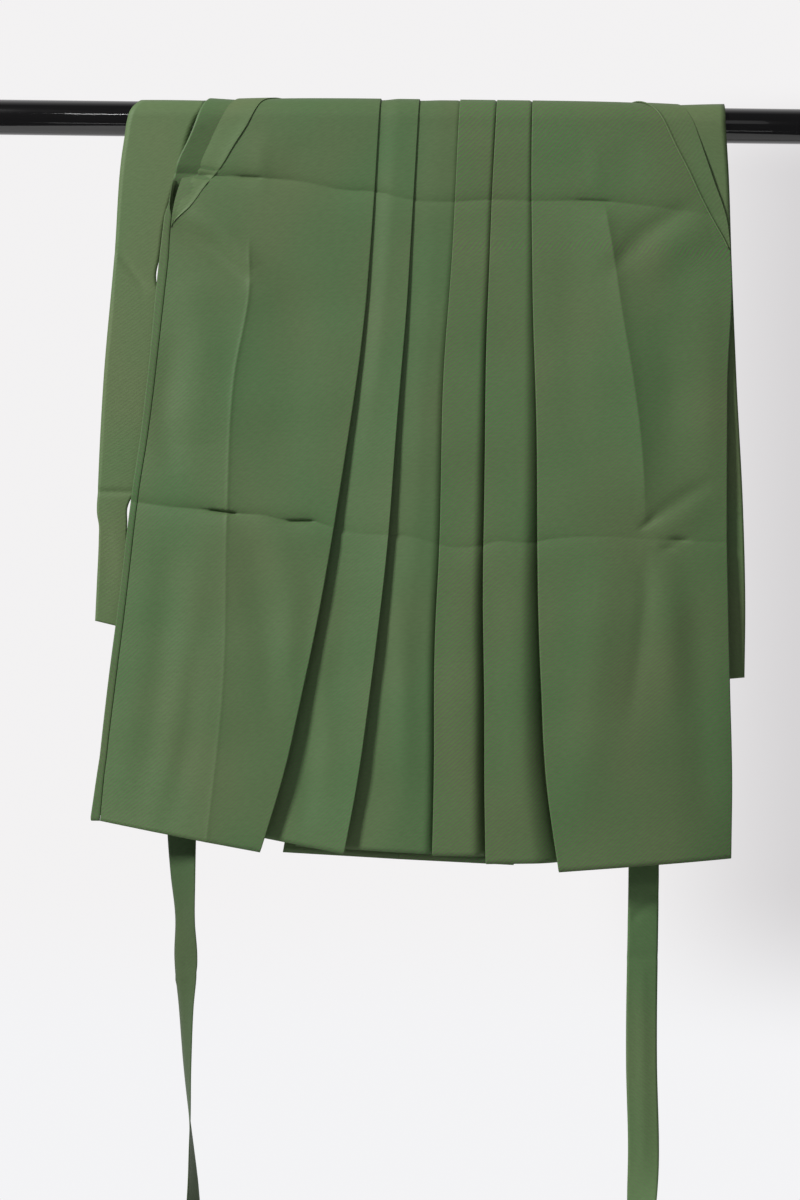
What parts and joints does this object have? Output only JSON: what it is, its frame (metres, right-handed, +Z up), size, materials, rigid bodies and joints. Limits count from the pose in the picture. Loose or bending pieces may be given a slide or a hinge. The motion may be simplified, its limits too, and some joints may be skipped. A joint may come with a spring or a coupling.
{
  "type": "hakama trousers on a rail",
  "caption": "Pleated wide-legged hakama trousers with ties and a stiff back board, folded over a round rail.",
  "frame": {"origin": "on the rail's axis, under the middle of the rail's length, where the rail holds the trousers", "axes": "+X along the rail towards the viewer's right, -Y towards the viewer of the front, +Z up"},
  "size_m": [0.88, 0.0761, 1.4249],
  "materials": {
    "cloth": "fine ribbed weave, slight satin sheen",
    "rail": "gloss"
  },
  "bodies": {
    "root": {"rail": "rail", "front_panel_left": "cloth", "front_panel_right": "cloth", "side_fold_left": "cloth", "side_fold_right": "cloth", "back_panel_left": "cloth", "back_panel_right": "cloth", "gusset": "cloth", "front_waistband": "cloth", "back_board": "cloth", "front_tie_left": "cloth", "front_tie_right": "cloth", "back_tie_left": "cloth", "back_tie_right": "cloth"}
  },
  "joints": []
}
